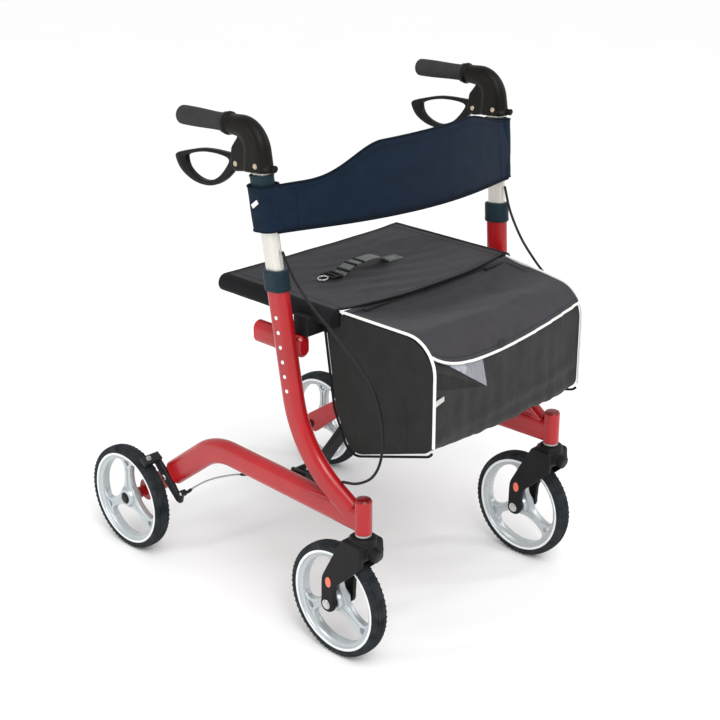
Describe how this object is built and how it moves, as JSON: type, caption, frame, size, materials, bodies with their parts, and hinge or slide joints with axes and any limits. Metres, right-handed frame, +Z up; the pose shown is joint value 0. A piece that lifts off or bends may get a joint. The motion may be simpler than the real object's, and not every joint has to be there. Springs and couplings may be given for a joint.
{
  "type": "rollator walker",
  "caption": "Side-folding rollator walker with a red tube frame, fabric seat, padded backrest band, front bag, height-adjustable handles with loop brakes, front swivel casters and fixed rear wheels",
  "frame": {"origin": "Centre of the overall box in plan, on the floor under the wheels.", "axes": "+Z up. The walker travels towards -Y, so the bag is at -Y and the grips reach back to +Y. The user's right-hand side frame is at +X when facing +Y, named right; the side frame at -X is named left."},
  "size_m": [0.5946, 0.8156, 0.8939],
  "materials": {
    "red_paint": "gloss red enamel over aluminium tube",
    "post_silver": "satin, off-white silver",
    "rim_silver": "silver moulded plastic",
    "steel": "plain steel pins and axles",
    "tyre": "matt black rubber",
    "black_plastic": "black moulded plastic",
    "teal_plastic": "very dark blue-green moulded plastic",
    "pale_plastic": "pale grey washer",
    "grip_rubber": "dark grey soft grip",
    "black_metal": "black painted",
    "navy_fabric": "dark navy padded fabric",
    "grey_fabric": "charcoal woven nylon",
    "dark_fabric": "near-black woven nylon",
    "webbing": "grey woven strap",
    "cable": "black cable jacket"
  },
  "bodies": {
    "frame_left": {"head_tube_left": "red_paint", "lower_tube_left": "red_paint", "upright_left": "red_paint", "seat_support_left": "red_paint", "saddle_left": "black_plastic", "axle_bracket_left": "red_paint", "rear_axle_left": "black_metal", "stem_bearing_left": "pale_plastic", "height_collar_left": "teal_plastic", "pivot_bracket_left": "black_metal", "handle_cable_left": "cable", "brake_cable_left": "cable", "bag": "dark_fabric"},
    "handle_left": {"handle_post_left": "post_silver", "handle_shell_left": "black_plastic", "grip_left": "grip_rubber", "backrest_clip_left": "teal_plastic", "backrest": "navy_fabric"},
    "lever_left": {"brake_lever_left": "black_plastic"},
    "button_left": {"height_button_left": "steel"},
    "brake_left": {"brake_arm_left": "black_metal"},
    "caster_left": {"fork_left": "black_plastic", "front_axle_left": "steel"},
    "front_wheel_left": {"front_rim_left": "rim_silver", "front_tyre_left": "tyre"},
    "rear_wheel_left": {"rear_rim_left": "rim_silver", "rear_tyre_left": "tyre"},
    "frame_right": {"head_tube_right": "red_paint", "lower_tube_right": "red_paint", "upright_right": "red_paint", "seat_support_right": "red_paint", "saddle_right": "black_plastic", "axle_bracket_right": "red_paint", "rear_axle_right": "black_metal", "stem_bearing_right": "pale_plastic", "height_collar_right": "teal_plastic", "pivot_bracket_right": "black_metal", "handle_cable_right": "cable", "brake_cable_right": "cable"},
    "handle_right": {"handle_post_right": "post_silver", "handle_shell_right": "black_plastic", "grip_right": "grip_rubber", "backrest_clip_right": "teal_plastic"},
    "lever_right": {"brake_lever_right": "black_plastic"},
    "button_right": {"height_button_right": "steel"},
    "brake_right": {"brake_arm_right": "black_metal"},
    "caster_right": {"fork_right": "black_plastic", "front_axle_right": "steel"},
    "front_wheel_right": {"front_rim_right": "rim_silver", "front_tyre_right": "tyre"},
    "rear_wheel_right": {"rear_rim_right": "rim_silver", "rear_tyre_right": "tyre"},
    "brace_a": {"arm_a": "black_metal", "centre_pin": "steel", "seat_rail_right": "black_metal", "seat_panel": "grey_fabric", "lift_strap": "webbing"},
    "brace_b": {"arm_b": "black_metal", "seat_rail_left": "black_metal"},
    "lid": {"bag_lid": "grey_fabric"}
  },
  "joints": [
    {"name": "fold", "type": "hinge", "parent": "frame_left", "child": "brace_a", "pos_m": [-0.197, -0.1298, 0.275], "axis": [0, -1, 0], "range_deg": [0, 38.4], "deforming": ["seat_panel", "lift_strap", "bag", "bag_lid", "backrest"]},
    {"name": "brace_pivot", "type": "hinge", "parent": "brace_a", "child": "brace_b", "pos_m": [0, -0.1228, 0.42127], "axis": [0, -1, 0], "range_deg": [-76.8, 0]},
    {"name": "fold_right", "type": "hinge", "parent": "brace_b", "child": "frame_right", "pos_m": [0.197, -0.1158, 0.275], "axis": [0, -1, 0], "range_deg": [0, 38.4]},
    {"name": "height_left", "type": "slide", "parent": "frame_left", "child": "handle_left", "axis": [-0.06, 0.1062, 0.9925], "range_m": [-0.0498, 0.0747], "deforming": ["handle_cable_left"]},
    {"name": "button_left", "type": "slide", "parent": "handle_left", "child": "button_left", "axis": [1, 0, 0], "range_m": [0, 0.0016], "stiffness_N_per_m": 400, "springref_m": -0.002},
    {"name": "lever_left", "type": "hinge", "parent": "handle_left", "child": "lever_left", "pos_m": [-0.28002, -0.0688, 0.819], "axis": [1, 0, 0], "range_deg": [0, 10], "stiffness_Nm_per_rad": 3},
    {"name": "brake_left", "type": "hinge", "parent": "frame_left", "child": "brake_left", "pos_m": [-0.232, 0.2242, 0.162], "axis": [1, 0, 0], "range_deg": [-3.7, 0], "deforming": ["brake_cable_left"]},
    {"name": "caster_left", "type": "hinge", "parent": "frame_left", "child": "caster_left", "pos_m": [-0.2433, -0.2978, 0.246], "axis": [0, 0, 1], "continuous": true},
    {"name": "front_wheel_left", "type": "hinge", "parent": "caster_left", "child": "front_wheel_left", "pos_m": [-0.2433, -0.2398, 0.1016], "axis": [1, 0, 0], "continuous": true},
    {"name": "rear_wheel_left", "type": "hinge", "parent": "frame_left", "child": "rear_wheel_left", "pos_m": [-0.256, 0.3062, 0.1016], "axis": [1, 0, 0], "continuous": true},
    {"name": "height_right", "type": "slide", "parent": "frame_right", "child": "handle_right", "axis": [0.06, 0.1062, 0.9925], "range_m": [-0.0498, 0.0747], "deforming": ["handle_cable_right"]},
    {"name": "button_right", "type": "slide", "parent": "handle_right", "child": "button_right", "axis": [-1, 0, 0], "range_m": [0, 0.0016], "stiffness_N_per_m": 400, "springref_m": -0.002},
    {"name": "lever_right", "type": "hinge", "parent": "handle_right", "child": "lever_right", "pos_m": [0.28002, -0.0688, 0.819], "axis": [1, 0, 0], "range_deg": [0, 10], "stiffness_Nm_per_rad": 3},
    {"name": "brake_right", "type": "hinge", "parent": "frame_right", "child": "brake_right", "pos_m": [0.232, 0.2242, 0.162], "axis": [1, 0, 0], "range_deg": [-3.7, 0], "deforming": ["brake_cable_right"]},
    {"name": "caster_right", "type": "hinge", "parent": "frame_right", "child": "caster_right", "pos_m": [0.2433, -0.2978, 0.246], "axis": [0, 0, 1], "continuous": true},
    {"name": "front_wheel_right", "type": "hinge", "parent": "caster_right", "child": "front_wheel_right", "pos_m": [0.2433, -0.2398, 0.1016], "axis": [1, 0, 0], "continuous": true},
    {"name": "rear_wheel_right", "type": "hinge", "parent": "frame_right", "child": "rear_wheel_right", "pos_m": [0.256, 0.3062, 0.1016], "axis": [1, 0, 0], "continuous": true},
    {"name": "lid", "type": "hinge", "parent": "frame_left", "child": "lid", "pos_m": [0, -0.2078, 0.5925], "axis": [-1, 0, 0], "range_deg": [0, 75]}
  ],
  "couplings": [
    {"joint": "brace_pivot", "follows": "fold", "ratio": -2},
    {"joint": "fold_right", "follows": "fold", "ratio": 1},
    {"joint": "height_right", "follows": "height_left", "ratio": 1},
    {"joint": "brake_left", "follows": "lever_left", "ratio": -0.36},
    {"joint": "brake_right", "follows": "lever_right", "ratio": -0.36}
  ]
}
